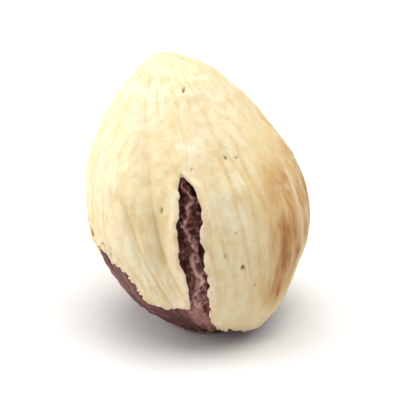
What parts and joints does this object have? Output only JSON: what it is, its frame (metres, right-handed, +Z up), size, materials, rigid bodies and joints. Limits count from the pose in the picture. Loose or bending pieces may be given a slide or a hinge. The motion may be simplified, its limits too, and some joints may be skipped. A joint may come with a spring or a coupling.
{
  "type": "hazelnut kernel",
  "caption": "Blanched hazelnut kernel standing tip up: a rounded drop of cream flesh with soft ridges, an off-centre tip and an open fold that holds a remnant of dark red seed skin.",
  "frame": {"origin": "middle of the flat spot that the kernel rests on", "axes": "+Z up towards the tip, -Y towards the side with the open fold, +X to the right seen from there; the tip leans to -X and +Y"},
  "size_m": [0.013, 0.0123, 0.0163],
  "materials": {
    "kernel_flesh": "matt cream with a faint oily sheen and golden roasted patches",
    "seed_skin": "dark red-brown, dry, papery and wrinkled"
  },
  "bodies": {
    "root": {"kernel": "kernel_flesh", "seed_skin": "seed_skin"}
  },
  "joints": []
}
